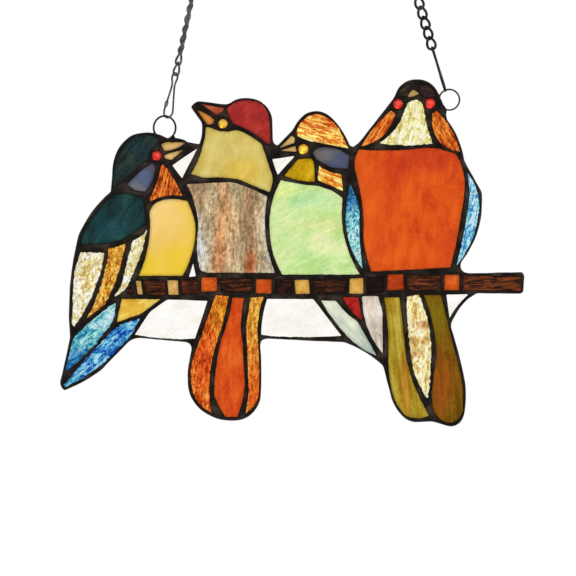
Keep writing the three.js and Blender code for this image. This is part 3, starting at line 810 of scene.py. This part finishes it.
paneLooks = {
    "teal_head": look("dark", (21, 25, 24), (28, 40, 40), (33, 53, 53), (51, 69, 56),
        grain=(4, 4, 52, 1.0), cloud=(13, 0.5), rim=0.6, spots=[((30, 59, 69), 55, 75, 40, 25, 30),
        ((46, 59, 42), 30, 60, 25, 25, 30)]),
    "teal_back": look("dark", (18, 32, 32), (23, 51, 51), (28, 67, 64), (48, 90, 79),
        grain=(5, 4, 62, 0.6), cloud=(13, 0.5), rim=0.6, spots=[((28, 67, 80), 45, 35, 40, 30, 50)]),
    "teal_cheek": look("smooth", (81, 81, 98), (89, 92, 113), (99, 110, 131), grain=(6, 2, 60, 0.5),
        cloud=(9, 1.0), rim=0.55, spots=[((123, 121, 127), 30, 8, 50, 30, 80),
        ((84, 98, 133), 60, 50, 30, 35, 60), ((92, 82, 96), 85, 92, 30, 30, 60)]),
    "teal_throat": look("ripple", (90, 26, 5), (186, 70, 13), (243, 112, 29), (246, 161, 70),
        grain=(1.5, 8, 76, 2.1), cloud=(5, 0.5), fine=1.3),
    "teal_breast": look("smooth", (240, 204, 57), (243, 207, 81), (243, 206, 114), grain=(10, 2, 80, 0.3),
        cloud=(16, 0.4), slope=(105, 0.6), rim=0.55, spots=[((247, 208, 144), 35, 72, 55, 45, 45)]),
    "teal_wing_outer": look("mottle", (219, 177, 79), (255, 255, 177), (255, 255, 251), (255, 255, 253),
        grain=(4.4, 1.8, 62, 1.2), cloud=(8, 0.5), fine=1.3, flecks=((169, 132, 59), 2.2, 2.4, 0.63, 0.7),
        crinkle=((150, 111, 47), 5.0, 1.7, 0.035, 0.9)),
    "teal_wing_middle": look("mottle", (143, 69, 5), (241, 145, 22), (255, 184, 59), (255, 246, 143),
        grain=(2.2, 2.4, 74, 1.8), cloud=(6, 0.6), fine=1.8, flecks=((255, 246, 57), 1.5, 1.5, 0.6, 0.9),
        crinkle=((129, 63, 5), 2.2, 2.6, 0.04, 0.8)),
    "teal_wing_inner": look("mottle", (224, 190, 92), (255, 255, 195), (255, 255, 248), (255, 255, 255),
        grain=(4.0, 2.0, 68, 1.2), cloud=(8, 0.9), fine=1.5, flecks=((219, 201, 97), 2.0, 2.4, 0.61, 0.6),
        crinkle=((146, 121, 53), 5.0, 2.0, 0.035, 0.9)),
    "teal_tail_upper": look("mottle", (17, 92, 154), (58, 167, 186), (116, 238, 215), (220, 238, 245),
        grain=(3.2, 3.0, 44, 1.9), cloud=(6, 0.4), fine=1.6, slope=(70, 0.5),
        spots=[((32, 129, 215), 20, 12, 30, 25, 70)], crinkle=((16, 76, 128), 2.6, 2.4, 0.035, 0.7)),
    "teal_tail_lower": look("mottle", (7, 55, 153), (25, 116, 205), (78, 206, 227), (198, 240, 250),
        grain=(3.0, 4.0, 44, 2.0), cloud=(6, 0.7), fine=1.6, spots=[((89, 185, 218), 8, 8, 22, 16, 80)],
        crinkle=((7, 40, 143), 2.6, 3.5, 0.035, 0.7)),
    "teal_belly": look("smooth", (221, 170, 46), (235, 194, 70), (249, 222, 118), grain=(6, 2, 10, 0.6),
        cloud=(8, 0.8), rim=0.3),
    "teal_beak_upper": look("smooth", (212, 165, 92), (224, 182, 110), (236, 197, 128), rim=0.7),
    "teal_beak_lower": look("smooth", (219, 178, 97), (234, 198, 121), (248, 216, 139), rim=0.7),
    "teal_eye": eye("red", (226, 36, 33), (246, 52, 43), (252, 94, 79), spot=(252, 98, 89)),

    "redcap_crown": look("smooth", (148, 36, 34), (174, 48, 44), (194, 66, 57), grain=(5, 2, 40, 0.5),
        cloud=(9, 0.7), rim=0.5),
    "redcap_neck": look("smooth", (205, 181, 85), (215, 192, 98), (225, 207, 126), grain=(7, 2, 70, 0.5),
        cloud=(11, 0.8), rim=0.45, spots=[((231, 194, 69), 60, 30, 25, 30, 50),
        ((221, 205, 128), 30, 70, 30, 30, 50)]),
    "redcap_breast": look("mottle", (137, 117, 89), (179, 158, 121), (209, 190, 152), (241, 226, 189),
        grain=(1.6, 5, 88, 1.0), cloud=(9, 0.5), fine=1.0, spots=[((203, 141, 89), 42, 65, 12, 60, 65),
        ((189, 123, 75), 36, 20, 10, 40, 75), ((154, 115, 79), 70, 60, 13, 60, 80),
        ((203, 151, 103), 53, 40, 6, 50, 50), ((179, 91, 41), 72, 10, 10, 18, 90),
        ((162, 127, 93), 10, 85, 20, 20, 70), ((209, 215, 215), 10, 20, 16, 40, 85),
        ((221, 225, 219), 95, 45, 9, 50, 90)], crinkle=((119, 90, 55), 2.2, 5, 0.016, 0.5)),
    "redcap_tail_left": look("ripple", (141, 40, 0), (234, 81, 10), (255, 116, 34), (255, 179, 84),
        grain=(1.6, 3.2, 84, 1.8), cloud=(7, 0.5), fine=1.5, spots=[((255, 151, 37), 75, 85, 35, 20, 70),
        ((229, 57, 8), 35, 45, 30, 25, 60)], flecks=((255, 187, 69), 1.2, 2, 0.62, 0.7),
        crinkle=((96, 27, 0), 2.0, 4, 0.03, 0.75)),
    "redcap_tail_middle": look("smooth", (200, 57, 18), (218, 85, 25), (233, 111, 34),
        grain=(4, 5, 88, 0.7), cloud=(10, 0.7), rim=0.3),
    "redcap_tail_right": look("ripple", (178, 81, 9), (251, 136, 32), (255, 171, 60), (255, 218, 125),
        grain=(1.6, 3.2, 86, 1.7), cloud=(7, 0.4), fine=1.5, spots=[((254, 90, 17), 60, 15, 60, 35, 85),
        ((244, 175, 58), 50, 85, 60, 30, 50)], flecks=((255, 224, 106), 1.2, 2, 0.62, 0.6),
        crinkle=((126, 54, 0), 2.0, 4, 0.03, 0.75)),
    "redcap_beak_upper": look("smooth", (169, 65, 44), (191, 84, 51), (209, 121, 70), rim=0.4),
    "redcap_beak_lower": look("smooth", (208, 121, 47), (224, 145, 63), (237, 167, 89), rim=0.7),
    "redcap_eye": eye("yellow", (217, 102, 7), (252, 142, 24), (255, 168, 52), spot=(255, 217, 86)),

    "green_crown": look("ripple", (201, 61, 15), (247, 136, 41), (255, 217, 85), (255, 253, 148),
        grain=(2.3, 7, -17, 2.1), cloud=(6, 0.3), fine=1.2, spots=[((255, 251, 142), 22, 15, 40, 22, 60),
        ((241, 107, 43), 40, 75, 40, 30, 40)]),
    "green_cheek": look("smooth", (80, 78, 86), (93, 91, 101), (118, 113, 115), grain=(9, 2, -20, 0.6),
        cloud=(11, 0.7), rim=0.6, spots=[((74, 84, 113), 74, 35, 50, 50, 80),
        ((126, 119, 117), 25, 62, 40, 35, 70)]),
    "green_chin": look("smooth", (181, 139, 7), (202, 162, 13), (230, 190, 36), grain=(5, 2, 60, 0.6),
        cloud=(7, 0.7), rim=0.45),
    "green_nape": look("ripple", (212, 82, 21), (255, 175, 49), (255, 255, 103), (255, 255, 177),
        grain=(2.2, 7, -26, 2.2), cloud=(6, 0.2), fine=1.2),
    "green_breast": look("streaky", (190, 226, 132), (206, 232, 158), (221, 236, 178), (243, 237, 186),
        grain=(4.6, 4, 26, 0.6), cloud=(13, 0.6), fine=1.1, rim=0.15,
        spots=[((213, 234, 137), 12, 90, 30, 16, 60), ((175, 232, 179), 45, 78, 35, 10, 50),
        ((186, 228, 147), 60, 15, 50, 20, 40), ((234, 234, 163), 60, 52, 40, 10, 45)]),
    "green_tail_left": look("streaky", (178, 193, 183), (214, 220, 203), (242, 244, 220),
        grain=(4.5, 6, -50, 0.6), cloud=(10, 0.5), fine=0.7, slope=(80, 0.6), rim=0.3),
    "green_tail_middle": look("smooth", (139, 23, 20), (176, 31, 24), (199, 52, 36), grain=(3, 2, 60, 0.8),
        cloud=(6, 0.7), rim=0.4),
    "green_tail_right": look("streaky", (177, 161, 146), (234, 222, 205), (250, 250, 248),
        grain=(5, 6, 100, 0.35), cloud=(10, 0.7), fine=0.4, rim=0.25),
    "green_beak_upper": look("smooth", (213, 169, 98), (231, 190, 117), (249, 216, 145), rim=0.4),
    "green_beak_lower": look("smooth", (214, 166, 100), (233, 187, 120), (251, 213, 148), rim=0.7),
    "green_eye": eye("yellow", (224, 119, 8), (255, 166, 25), (255, 196, 55), spot=(255, 233, 91)),

    "orange_crown_left": look("dark", (29, 24, 24), (47, 36, 34), (79, 59, 44), grain=(2.5, 4, 30, 1.2),
        rim=0.4),
    "orange_crown_right": look("dark", (24, 20, 21), (43, 32, 30), (70, 50, 39), grain=(2.5, 4, -30, 1.2),
        rim=0.4),
    "orange_cheek_left": look("ripple", (148, 42, 6), (250, 96, 22), (250, 141, 47), (250, 200, 96),
        grain=(1.8, 11, 57, 1.5), cloud=(6, 0.5), fine=1.0, crinkle=((104, 31, 5), 3.2, 7, 0.03, 0.8)),
    "orange_throat": look("mottle", (194, 171, 77), (255, 253, 161), (255, 254, 222), (255, 254, 254),
        grain=(2.2, 4, 78, 1.4), cloud=(7, 0.5), fine=1.3, flecks=((207, 180, 72), 1.6, 2.4, 0.62, 0.7),
        crinkle=((161, 141, 55), 2.6, 4.5, 0.03, 0.6)),
    "orange_cheek_right": look("ripple", (129, 41, 4), (227, 93, 19), (254, 136, 41), (254, 194, 86),
        grain=(1.8, 11, 120, 1.5), cloud=(6, 0.6), fine=1.0, crinkle=((90, 32, 4), 3.2, 7, 0.03, 0.8)),
    "orange_breast": look("smooth", (203, 63, 21), (222, 88, 23), (236, 108, 30), grain=(6, 3, 85, 0.5),
        cloud=(13, 0.5), rim=0.2, spots=[((200, 60, 28), 72, 95, 50, 22, 75),
        ((204, 64, 26), 98, 10, 30, 40, 60), ((229, 97, 30), 4, 45, 30, 60, 60),
        ((208, 62, 28), 35, 80, 16, 20, 40)]),
    "orange_wing_left": look("mottle", (19, 107, 155), (77, 196, 204), (174, 255, 227), (243, 255, 252),
        grain=(1.8, 1.8, 70, 1.7), cloud=(5, 0.6), fine=2.6, slope=(-90, 0.4),
        spots=[((18, 107, 170), 35, 82, 60, 20, 85)], crinkle=((14, 80, 134), 2.0, 1.6, 0.035, 0.75)),
    "orange_wing_right": look("mottle", (31, 115, 183), (98, 196, 227), (183, 255, 252), (255, 255, 254),
        grain=(1.9, 2.8, 76, 1.7), cloud=(5, 0.6), fine=2.2, crinkle=((21, 88, 159), 2.2, 2.4, 0.035, 0.7)),
    "orange_tail_left": look("streaky", (140, 105, 10), (165, 134, 23), (193, 167, 56), (215, 198, 95),
        grain=(3.4, 14, 96, 0.8), cloud=(9, 0.4), fine=0.7, rim=0.35,
        spots=[((187, 122, 32), 45, 25, 14, 28, 60), ((168, 166, 70), 60, 88, 35, 20, 50)]),
    "orange_tail_middle": look("mottle", (197, 140, 62), (255, 254, 164), (255, 254, 218), (255, 254, 250),
        grain=(2.2, 4, 86, 1.1), cloud=(6, 0.6), fine=1.5, spots=[((228, 171, 96), 40, 55, 80, 6, 80),
        ((220, 155, 90), 70, 70, 50, 5, 80), ((212, 149, 86), 30, 42, 40, 4, 60)],
        flecks=((197, 147, 66), 1.4, 2.4, 0.63, 0.7), crinkle=((168, 108, 46), 2.6, 3.2, 0.03, 0.6)),
    "orange_tail_right": look("streaky", (101, 66, 4), (126, 84, 8), (146, 106, 16),
        grain=(3, 12, 95, 0.9), cloud=(10, 0.6), rim=0.4, spots=[((156, 80, 16), 45, 30, 40, 30, 70),
        ((122, 108, 10), 40, 85, 50, 20, 60)]),
    "orange_beak": look("smooth", (182, 141, 82), (199, 158, 96), (218, 182, 120), rim=0.4),
    "orange_eye_left": eye("red", (226, 37, 28), (244, 52, 38), (254, 97, 70), spot=(254, 101, 85)),
    "orange_eye_right": eye("red", (230, 31, 22), (248, 45, 30), (254, 82, 57), spot=(254, 97, 81)),
}
branchLook = look("dark", (20, 12, 10), (47, 25, 18), (86, 39, 19), (142, 72, 32), cloud=(6, 0.45), rim=0.5)
branchSet = {
    "grain": (1.1, 9, 2, 1.2),
    # for each of the nine pieces: how strong its grain is, and darker or lighter than the rest
    "strength": (1.0, 0.75, 0.8, 0.9, 0.8, 1.1, 0.8, 1.7, 1.6),
    "shift": (-0.14, 0.0, 0.04, -0.05, -0.14, -0.12, -0.34, -0.05, 0.08),
}
clearLook = look("clear", (243, 237, 226), (252, 249, 242), (255, 255, 252), grain=(6, 3, 30, 0.8),
                 cloud=(10, 0.6))
footLooks = {
    "tan": look("smooth", (200, 152, 78), (222, 180, 106), (238, 204, 134), cloud=(6, 0.9), rim=0.4),
    "orange": look("smooth", (190, 66, 14), (212, 88, 26), (230, 116, 44), cloud=(6, 0.9), rim=0.6),
    "deep": look("smooth", (166, 50, 10), (194, 70, 22), (214, 92, 36), cloud=(6, 0.9), rim=0.6),
    "yellow": look("smooth", (206, 148, 56), (224, 172, 78), (238, 196, 104), cloud=(6, 0.9), rim=0.5),
}
footColours = ("tan", "tan", "orange", "orange", "yellow", "yellow", "deep", "orange")


def lookOf(name):
    kind, number = name.split("_")[0], name.split("_")[-1]
    if kind == "clear":
        return clearLook
    if kind == "foot":
        return footLooks[footColours[int(number) - 1]]
    if kind == "branch":
        *grain, share = branchSet["grain"]
        share *= branchSet["strength"][int(number) - 1]
        return {**branchLook, "grain": (*grain, share), "shift": branchSet["shift"][int(number) - 1]}
    return paneLooks[name]


# A value about 0 from a noise about 0.5
def swing(tree, factor, share):
    return sumNode(tree, "MULTIPLY", sumNode(tree, "SUBTRACT", factor, 0.5), share)


def sumOf(tree, first, *others):
    for other in others:
        first = sumNode(tree, "ADD", first, other)
    return first


# Rises softly from 0 to the top value
def stepUp(tree, factor, low, high, top):
    return rangeNode(tree, factor, (low, high), 0, top, "SMOOTHSTEP")


# A soft round patch in the pane, 1 in its middle, with an uneven edge
def spotMask(tree, across, up, halfWide, halfHigh, share, noisy):
    shifted = addNode(tree, "Mapping", "Vector", {
        "Vector": addNode(tree, "TexCoord", "Generated", {}),
        "Location": (across, 0.5, up),
        "Scale": (halfWide, glassSet["spotDepth"], halfHigh)}, vector_type="TEXTURE")
    reach = addNode(tree, "VectorMath", "Value", {0: shifted}, operation="LENGTH")
    near = sumNode(tree, "SUBTRACT", 1.0, reach)
    uneven = sumNode(tree, "ADD", near, swing(tree, noisy, glassSet["spotSwing"]))
    return stepUp(tree, uneven, *glassSet["spotEdge"], share)


# From -share/2 to share/2 across the pane, along an angle from X towards Z
def slopeNode(tree, angle, share):
    turn = radians(angle)
    centred = addNode(tree, "VectorMath", "Vector", {
        0: addNode(tree, "TexCoord", "Generated", {}), 1: (0.5, 0.5, 0.5)}, operation="SUBTRACT")
    along = addNode(tree, "VectorMath", "Value", {
        0: centred, 1: (cos(turn), 0, sin(turn))}, operation="DOT_PRODUCT")
    return sumNode(tree, "MULTIPLY", along, share)


def glassMaterial(name, look, seed):
    kind = glassKinds[look["kind"]]
    material, tree, shader = newMaterial(f"glass_{name}")
    size, stretch, angle, share = look.get("grain", glassSet["grain"])
    cloudSize, cloudShare = look.get("cloud", glassSet["cloud"])

    def marks(use, size, stretch, more=0, crisp=None):
        detail, distortion, roughness, shift = markNoise[use]
        return placedNoise(tree, size * mm, stretch, angle, detail, distortion,
                           seed + shift + more, crisp or roughness)

    grain = marks("grain", size, stretch, crisp=kind["crisp"])
    cloud = marks("cloud", cloudSize, glassSet["cloudStretch"])
    grainSwing, cloudSwing, reliefSwing = glassSet["swings"]
    total = sumOf(tree, swing(tree, grain, grainSwing * share), swing(tree, cloud, cloudSwing * cloudShare),
                  swing(tree, marks("fine", *glassSet["fine"]), look.get("fine", kind["fine"])),
                  swing(tree, readValue(tree, "relief"), reliefSwing * kind["relief"][0]))
    if "slope" in look:
        total = sumNode(tree, "ADD", total, slopeNode(tree, *look["slope"]))
    shifted = sumNode(tree, "ADD", total, 0.5 + look.get("shift", 0))
    colour = rampNode(tree, shifted, look["colours"], noiseSet["wide"])
    for k, (tint, *spot) in enumerate(look.get("spots", [])):
        noisy = marks("spots", glassSet["spotGrain"] * size, stretch, glassSet["spotSeed"] * k)
        shades = [[min(255, c * (1 + side * kind["swing"])) for c in tint] for side in (-1, 0, 1)]
        shaded = rampNode(tree, sumNode(tree, "ADD", total, 0.5), shades, noiseSet["wide"])
        colour = overlay(tree, colour, shaded, spotMask(tree, *[s / 100 for s in spot], noisy))
    if "crinkle" in look:
        tint, apart, drawn, width, strength = look["crinkle"]
        away = sumNode(tree, "ABSOLUTE", sumNode(tree, "SUBTRACT", marks("crinkle", apart, drawn), 0.5), 0)
        crease = stepUp(tree, sumNode(tree, "SUBTRACT", width, away), 0, width, strength)
        colour = overlay(tree, colour, tint, crease)
    if "flecks" in look:
        tint, apart, drawn, above, strength = look["flecks"]
        specks = stepUp(tree, marks("flecks", apart, drawn), above, above + glassSet["fleckEdge"], strength)
        colour = overlay(tree, colour, tint, specks)
    # Painted shade: the glass darkened beside the solder
    if "rim" in look:
        shade = sumNode(tree, "MULTIPLY", readValue(tree, "rim"), look["rim"])
        colour = overlay(tree, colour, glassSet["rimShade"], shade, "MULTIPLY")
    low, high = [share * kind["roughness"] for share in glassSet["roughness"]]
    feed(tree, shader, {
        "Base Color": colour,
        "Transmission Weight": kind["through"],
        "IOR": glassSet["bend"],
        "Specular IOR Level": kind["specular"],
        "Specular Tint": glassSet["shine"],
        "Roughness": rangeNode(tree, cloud, noiseSet["middle"], low, high),
        "Normal": bumpNode(tree, grain, kind["bump"], glassSet["bumpDepth"])})
    return material


# How deep the face is worked at a place, 0 to 1
def reliefAt(x, z, face, relief, seed):
    size, stretch, angle = relief[1:]
    turn = radians(angle)
    along = (x * cos(turn) + z * sin(turn)) / (size * stretch * mm)
    across = (z * cos(turn) - x * sin(turn)) / (size * mm)
    place = Vector((along + reliefSet["seedStep"] * seed, reliefSet["faceStep"] * face + seed, across))
    rough = noise.noise(place) + 0.5 * noise.noise(place * reliefSet["finer"])
    return min(1, max(0, 0.5 + reliefSet["share"] * rough))


def makePane(name, loop, seed):
    look = lookOf(name)
    kind = glassKinds[look["kind"]]
    deep = kind["relief"][0] * mm
    edge = grownLoop(loop, solderSet["lip"] - glassSet["clearance"])
    near = edgeTree([edge], outlineSet["dense"])
    spacing = kind["spacing"] * mm
    loose = pointsInside(edge, loopNormals(edge)[0], near, spacing, glassSet["clear"] * spacing)
    flat, faces = triangulate([edge], loose)
    jewel = name.split("_")[1] == "eye"
    centre = flat[:len(edge)].mean(axis=0)
    radius = lengths(edge - centre).mean() - solderSet["lip"]
    vertices = []
    depths = []
    rimShades = []
    for face in (-1, 1):
        for x, z in flat:
            inside = distanceTo(near, x, z)
            depth = reliefAt(x, z, face, kind["relief"], seed)
            half = glassSet["half"] - deep * depth * min(1, inside / glassSet["settle"])
            if jewel:
                share = min(1, hypot(x - centre[0], z - centre[1]) / radius)
                half = glassSet["half"] + glassSet["jewelRise"] * sqrt(1 - share * share)
            vertices.append((x, face * half, z))
            depths.append(1 - depth)
            # painted shade beside the solder, for the material to read
            rimShades.append(max(0, 1 - inside / glassSet["rimReach"]) ** glassSet["rimShadeFade"])
    shell = bothSides(faces, len(flat), len(edge))
    label = f"{name}_glass" if name in frame["nodes"] else name
    piece = makeSheet(label, vertices, shell, glassMaterial(name, look, seed), relief=depths, rim=rimShades)
    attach(piece, "root")
    if name in nodeSlots:
        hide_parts(name)
    return len(shell)


nodeSlots = {part["node"]: part["material_slot"] for part in frame["record"]["subparts"]}
glassFaces = sum(makePane(windowNames[i], loop, i) for i, loop in enumerate(windowLoops))
print("glass made:", len(windowLoops), "pieces,", glassFaces, "faces")


# Rings, hooks and chains

def sides(left, right):
    return {"left": left, "right": right}


wireSet = {
    # wire diameters
    "ring": sides(1.45 * mm, 1.2 * mm),
    "hook": sides(1.4 * mm, 1.65 * mm),
    "link": sides(1.4 * mm, 1.9 * mm),
    "endRing": 1.6 * mm,
    "sides": 12,
    "ringSteps": 72,
}
# Millimetres against the solids: a jump ring's width, height, place to the right and place up,
# and the places of the hook's foot and of its head and the chain
ringShape = sides((0.15, 0.75, 0.0, -0.9), (0.2, 0.25, -0.1, 0.0))
footShift = sides((0.1, 0, 0.45), (-0.3, 0, 1.2))
headShift = sides((0.75, 0, 0.45), (0, 0, 0.45))
chainSet = {
    "length": 10.9 * mm,  # of a link, outside
    "width": 7.5 * mm,
    "pitch": 7.5 * mm,
    "squareness": 0.85,  # 1 for round ends, lower for straighter sides
    "twist": sides(0.8, 1.3),  # of a link over its length
    "straight": 0.75,  # how much less a closed link is twisted
    "closing": 12,  # how suddenly a link counts as closed
    "sway": 0.5 * mm,  # of a closed link's middle line
    "swell": 1.1,  # of a closed link's wire half way up
    "swellFocus": 4,
    # of each link, from the lowest
    "turns": sides((1.02, 1.06, 1.38, 1.34, 1.4, 1.33, 1.38, 1.36), (0.05, -0.1, 0.08, 0.0, -0.05, 0.05)),
    "teardrop": sides(0.12, 0.32),  # how much narrower a link is at its top
    "steps": 56,
}
hookSet = {
    # along the hook from its foot, and half its width in millimetres
    "profile": [(0, 0), (0.02, 2.2), (0.087, 3.8), (0.18, 4.0), (0.317, 3.2), (0.547, 2.0),
                (0.685, 1.35), (0.777, 1.5), (0.869, 2.4), (0.961, 2.3), (1, 0)],
    "scale": sides(1.0, 0.6),
    "steps": 10,
    # where the wire's end is wrapped: along, half length, swelling
    "knuckle": (0.3, 0.08, sides(1.0, 0.1)),
}
blobSet = {
    # each drop of solder at a ring: its angle on the ring, to one side, half length, deep, high
    "left": [(-42, 0.2, 2.2, 1.2, 2.7), (-38, 4.0, 6.6, 1.1, 1.45), (208, 0, 1.5, 1.2, 0.8)],
    "right": [(150, 0, 1.4, 1.4, 1.0), (243, 0.6, 3.4, 1.4, 1.2)],
    "sunk": 0.35 * mm,  # into the web
    "lump": 0.25,
    "lumpSize": 1.3,
    "seedStep": (1, 5, 0),
    "steps": (20, 12),
}


# A round wire through the places, closed on itself, swollen where the swelling says
def makeWire(name, node, places, diameter, material, swelling=None):
    around = wireSet["sides"]
    count = len(places)
    flat = sum((places[i - 1].cross(places[i]) for i in range(count)), Vector()).normalized()
    vertices = []
    faces = []
    for i, place in enumerate(places):
        along = (places[(i + 1) % count] - places[i - 1]).normalized()
        across = (flat - along * flat.dot(along)).normalized()
        out = across.cross(along)
        radius = diameter / 2 * (swelling[i] if swelling else 1)
        here, after = i * around, ((i + 1) % count) * around
        for k in range(around):
            angle = 2 * pi * k / around
            vertices.append(place + (out * cos(angle) + across * sin(angle)) * radius)
            turn = (k + 1) % around
            faces.append((here + k, after + k, after + turn, here + turn))
    settle(makePiece(name, vertices, faces, material), "hanging_metal", node)


def ringPlaces(middle, right, up):
    angles = np.linspace(0, 2 * pi, wireSet["ringSteps"], endpoint=False)
    return [middle + right * cos(a) + up * sin(a) for a in angles]


# A node's points, its middle and its axes, the longest first
def nodeAxes(nodeName):
    places = np.array([v.co for v in frame["nodes"][nodeName].data.vertices])
    middle = (places.max(axis=0) + places.min(axis=0)) / 2
    axes = np.linalg.svd(places - places.mean(axis=0), full_matrices=False)[2]
    return [Vector(p) for p in places], Vector(middle), [Vector(axis) for axis in axes]


def makeRing(side, material):
    node = f"ring_{side}"
    low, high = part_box(node)
    wider, taller, right, up = [s * mm for s in ringShape[side]]
    middle = (low + high) / 2 + Vector((right, 0, up))
    radius = (high.x - low.x - wireSet["ring"][side]) / 2
    places = ringPlaces(middle, Vector((radius + wider, 0, 0)), Vector((0, 0, radius + taller)))
    makeWire(f"jump_ring_{side}", node, places, wireSet["ring"][side], material)
    for k, (angle, aside, *size) in enumerate(blobSet[side], start=1):
        turn = radians(angle)
        foot = (middle.x + radius * cos(turn), middle.z + radius * sin(turn))
        i = int(lengths(outerLoop - foot).argmin())
        (x, z), (lastX, lastZ) = outerLoop[i], outerLoop[i - 1]
        along = Vector((lastX - x, 0, lastZ - z)).normalized()
        place = Vector((x, 0, z)) + Vector((along.z, 0, -along.x)) * blobSet["sunk"]
        makeBlob(f"solder_blob_{side}_{k}", place + along * aside * mm, along, size, k)


# A drop of solder that holds a ring to the web
def makeBlob(name, place, along, blob, seed):
    around, rows = blobSet["steps"]
    up = Vector((-along.z, 0, along.x))
    vertices = []
    faces = []
    for j in range(rows + 1):
        tilt = pi * j / rows
        for i in range(around):
            angle = 2 * pi * i / around
            out = Vector((sin(tilt) * cos(angle), sin(tilt) * sin(angle), cos(tilt)))
            lump = noise.noise(out * blobSet["lumpSize"] + Vector(blobSet["seedStep"]) * seed)
            grown = 1 + blobSet["lump"] * lump
            long, deep, high = [o * s * grown * mm for o, s in zip(out, blob)]
            vertices.append(place + along * long + Vector((0, deep, 0)) + up * high)
            if j < rows:
                here, after = j * around + i, j * around + (i + 1) % around
                faces.append((here, here + around, after + around, after))
    settle(makePiece(name, vertices, faces, solderPaint), "solder")


def smoothClosed(points, steps):
    count = len(points)
    places = []
    for i in range(count):
        a, b, c, d = (points[(i + k) % count] for k in (-1, 0, 1, 2))
        for k in range(steps):
            t = k / steps
            places.append(0.5 * ((2 * b) + (c - a) * t + (2 * a - 5 * b + 4 * c - d) * t * t
                                 + (3 * b - a - 3 * c + d) * t ** 3))
    return places


def makeHook(side, material):
    node = f"hook_{side}"
    places, middle, axes = nodeAxes(node)
    up = axes[0] if axes[0].z > 0 else -axes[0]
    wide = axes[1] if axes[1].x > 0 else -axes[1]
    spans = [p.dot(up) for p in places]
    wire = wireSet["hook"][side]
    foot = middle - up * (middle.dot(up) - min(spans) - wire / 2)
    head = foot + up * (max(spans) - min(spans) - wire) + Vector(headShift[side]) * mm
    foot += Vector(footShift[side]) * mm
    length = (head - foot).length
    up = (head - foot).normalized()
    profile = hookSet["profile"]
    halves = profile + [(t, -half) for t, half in reversed(profile[1:-1])]
    scale = hookSet["scale"][side] * mm
    corners = [foot + up * (t * length) + wide * (half * scale) for t, half in halves]
    loop = smoothClosed(corners, hookSet["steps"])
    where, reach, swell = hookSet["knuckle"]
    swelling = []
    for place in loop:
        t = (place - foot).dot(up) / length
        near = max(0, 1 - ((t - where) / reach) ** 2) if (place - foot).dot(wide) < 0 else 0
        swelling.append(1 + swell[side] * near)
    makeWire(f"wire_hook_{side}", node, loop, wire, material, swelling)


def makeChain(side, material):
    node = f"chain_{side}"
    middle, axes = nodeAxes(node)[1:]
    up = axes[0] if axes[0].z > 0 else -axes[0]
    lean = Vector((0, 0, 1)).rotation_difference(up).to_matrix()
    middle = middle + Vector(headShift[side]) * mm
    wire = wireSet["link"][side]
    pitch = chainSet["pitch"]
    radius = (chainSet["width"] - wire) / 2
    reach = chainSet["length"] - wire
    turns = chainSet["turns"][side]
    for i, linkTurn in enumerate(turns):
        turned = lean @ Matrix.Rotation(linkTurn, 3, "Z")
        closed = sin(linkTurn) ** chainSet["closing"]  # 1 where the link is seen edge-on
        twist = chainSet["twist"][side] * (1 - chainSet["straight"] * closed)
        seat = middle + lean @ Vector((0, 0, (i - (len(turns) - 1) / 2) * pitch))
        loop = []
        swelling = []
        for k in range(chainSet["steps"]):
            angle = 2 * pi * (k + 0.5) / chainSet["steps"]
            height = reach / 2 * sin(angle)
            out = radius * copysign(abs(cos(angle)) ** chainSet["squareness"], cos(angle))
            out *= 1 - chainSet["teardrop"][side] * sin(angle)
            turn = twist * height / reach
            along = 2 * pi * max(-0.5, min(0.5, height / pitch))
            aside = lean @ Vector((chainSet["sway"] * closed * sin(along), 0, 0))
            swelling.append(1 + chainSet["swell"] * closed * cos(angle) ** chainSet["swellFocus"])
            place = turned @ Vector((out * cos(turn), out * sin(turn), height))
            loop.append(seat + aside + place)
        makeWire(f"chain_{side}_link_{i + 1}", node, loop, wire, material, swelling)


def makeEndRing(side, material):
    node = f"end_ring_{side}"
    places, middle, axes = nodeAxes(node)
    radius = max((p - middle).length for p in places) - wireSet["endRing"] / 2
    places = ringPlaces(middle, axes[0] * radius, axes[1] * radius)
    makeWire(f"top_ring_{side}", node, places, wireSet["endRing"], material)


darkWire = metalMaterial("dark_bronze_wire")
greyWire = metalMaterial("grey_steel_wire")
for side, wire in (("left", greyWire), ("right", darkWire)):
    makeRing(side, darkWire)
    makeHook(side, wire)
    makeChain(side, wire)
    makeEndRing(side, wire)
print("hangers made")
